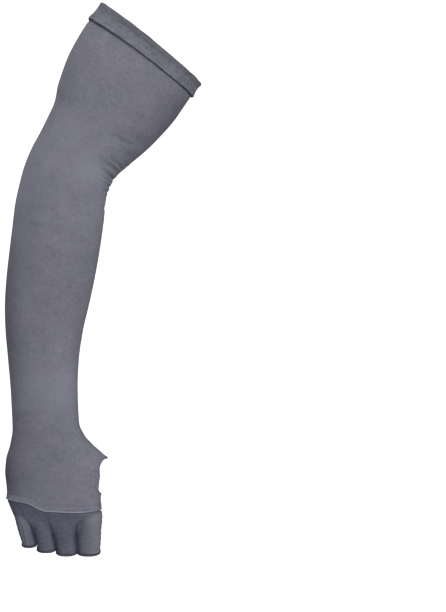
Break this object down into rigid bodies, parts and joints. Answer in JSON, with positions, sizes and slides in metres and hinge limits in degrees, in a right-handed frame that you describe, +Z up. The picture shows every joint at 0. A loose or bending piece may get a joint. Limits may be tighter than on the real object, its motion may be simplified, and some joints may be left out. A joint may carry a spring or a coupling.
{
  "type": "arm sleeve",
  "caption": "Knitted arm sleeve with a folded cuff, a thumb opening and open finger stalls, in its worn form, bent at the elbow.",
  "frame": {"origin": "centre of the top rim of the cuff, where the arm goes in", "axes": "+Z up along the hanging forearm, +X towards the thumb, -Y towards the back of the hand; bent at the elbow"},
  "size_m": [0.1967, 0.1017, 0.5542],
  "materials": {
    "knit": "matt fine knit, slate grey",
    "cuff_knit": "matt fine knit, folded double",
    "hem_knit": "matt fine knit, stitched hem",
    "finger_knit": "matt fine knit, darker grey",
    "finger_hem_knit": "rolled hem of fine knit"
  },
  "bodies": {
    "root": {"sleeve_tube": "knit", "cuff_band": "cuff_knit", "knuckle_hem": "hem_knit", "thumb_hem": "hem_knit", "finger_section": "finger_knit", "little_hem": "finger_hem_knit", "ring_hem": "finger_hem_knit", "middle_hem": "finger_hem_knit", "index_hem": "finger_hem_knit"}
  },
  "joints": []
}
